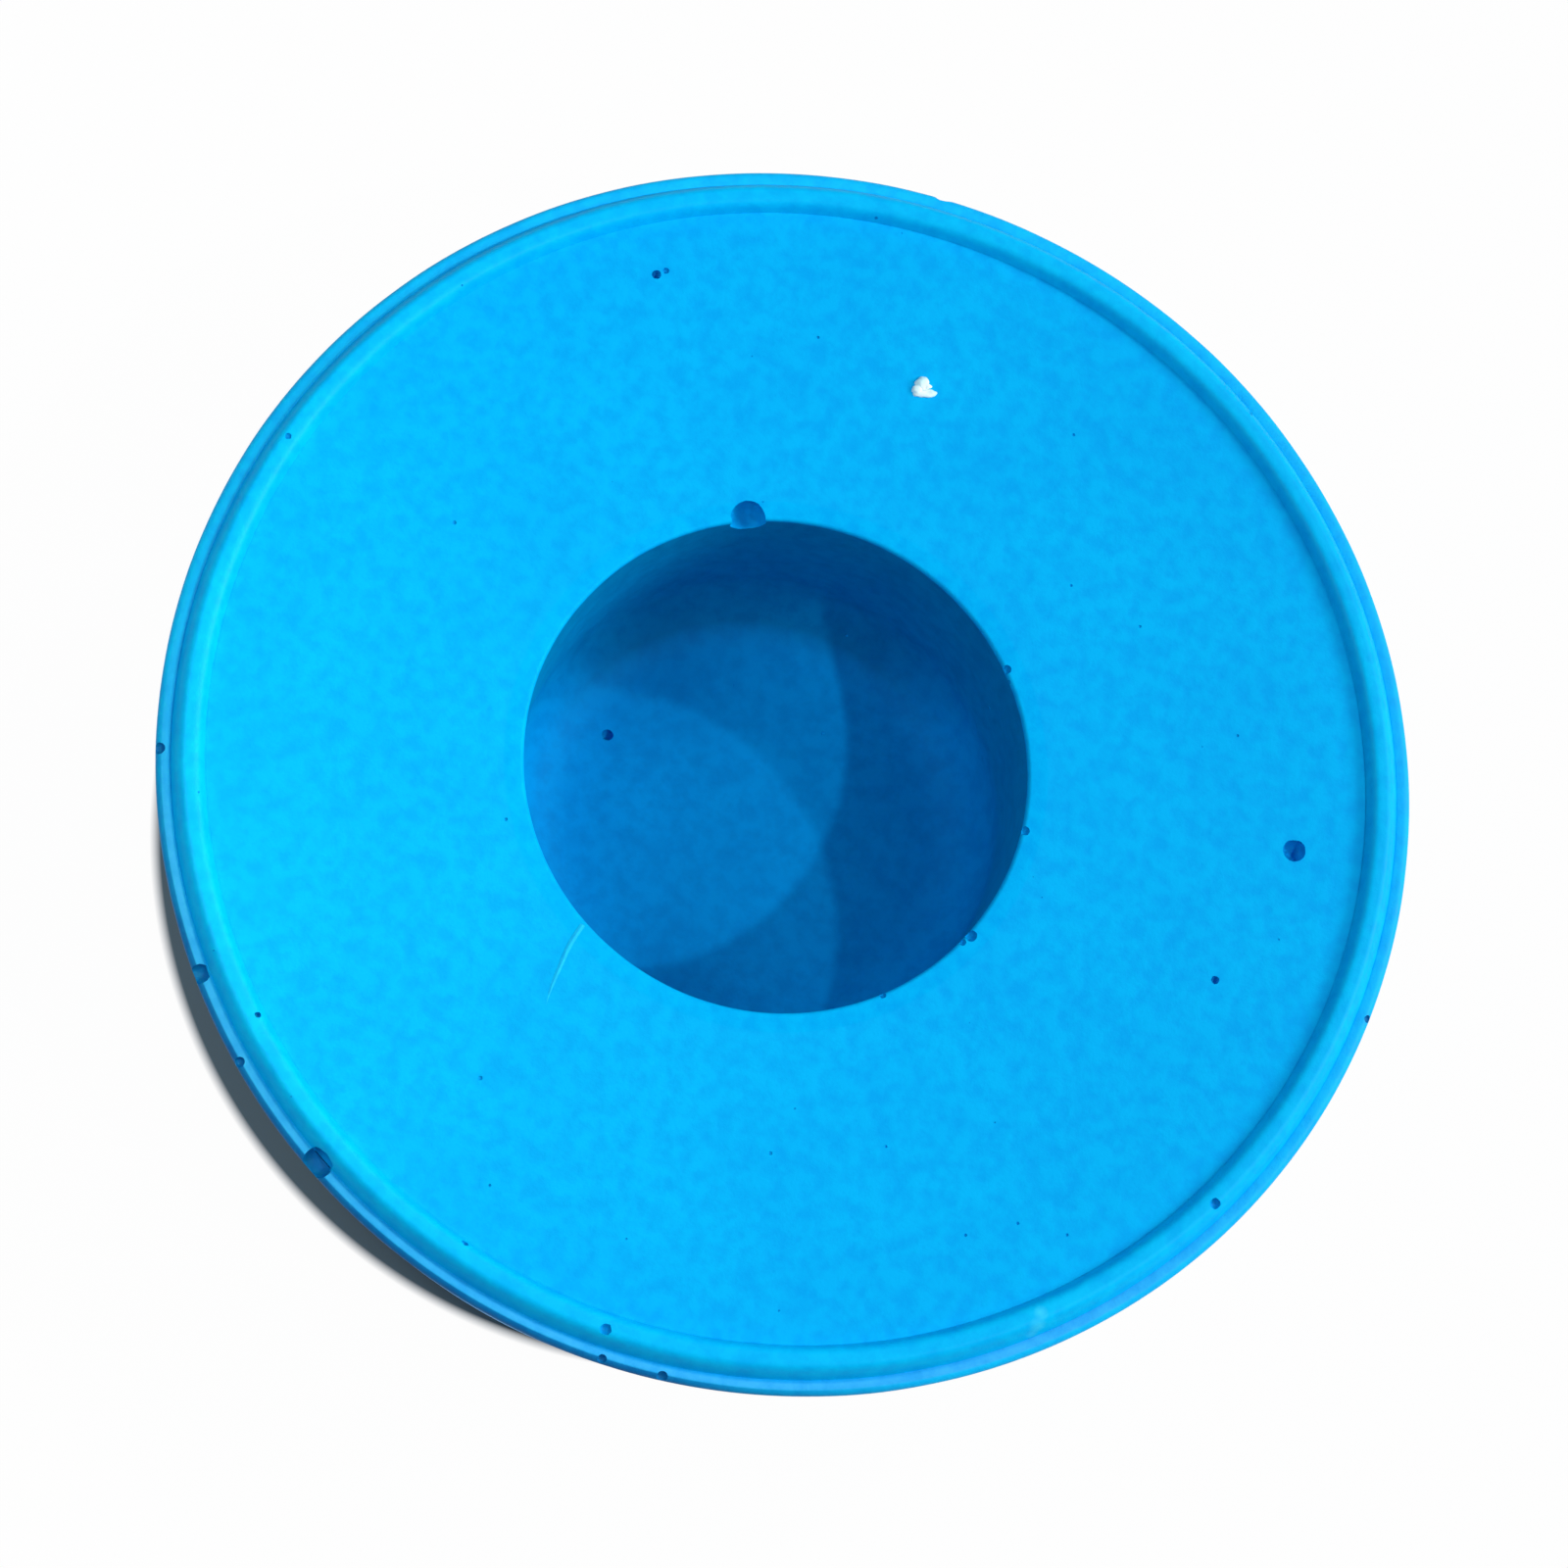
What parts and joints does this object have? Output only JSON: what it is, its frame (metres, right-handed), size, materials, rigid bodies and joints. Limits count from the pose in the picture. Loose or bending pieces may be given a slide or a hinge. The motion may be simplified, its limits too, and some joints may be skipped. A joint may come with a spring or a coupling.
{
  "type": "hockey puck",
  "caption": "Round cast blue puck with a flat face, a raised rounded rim inside a thin outer lip, leaning sides, a flat base and a round blind pocket in the face, slightly off centre.",
  "frame": {"origin": "centre of the flat base, on the floor", "axes": "+Z along the puck's axis, out of the pocket's mouth; the picture's camera looks toward +Y, and the pocket's axis stands 1 mm off the puck's axis toward -X and -Y"},
  "size_m": [0.0762, 0.0762, 0.0254],
  "materials": {
    "shell_rubber": "satin cast rubber, paler blue",
    "core_rubber": "satin cast rubber with fine mottling and air pinholes, bright blue",
    "ring_rubber": "satin cast rubber, bright blue",
    "cup_rubber": "satin cast rubber, deeper blue"
  },
  "bodies": {
    "root": {"outer_shell": "shell_rubber", "cast_core": "core_rubber", "rim_ring": "ring_rubber", "pocket_cup": "cup_rubber"}
  },
  "joints": []
}
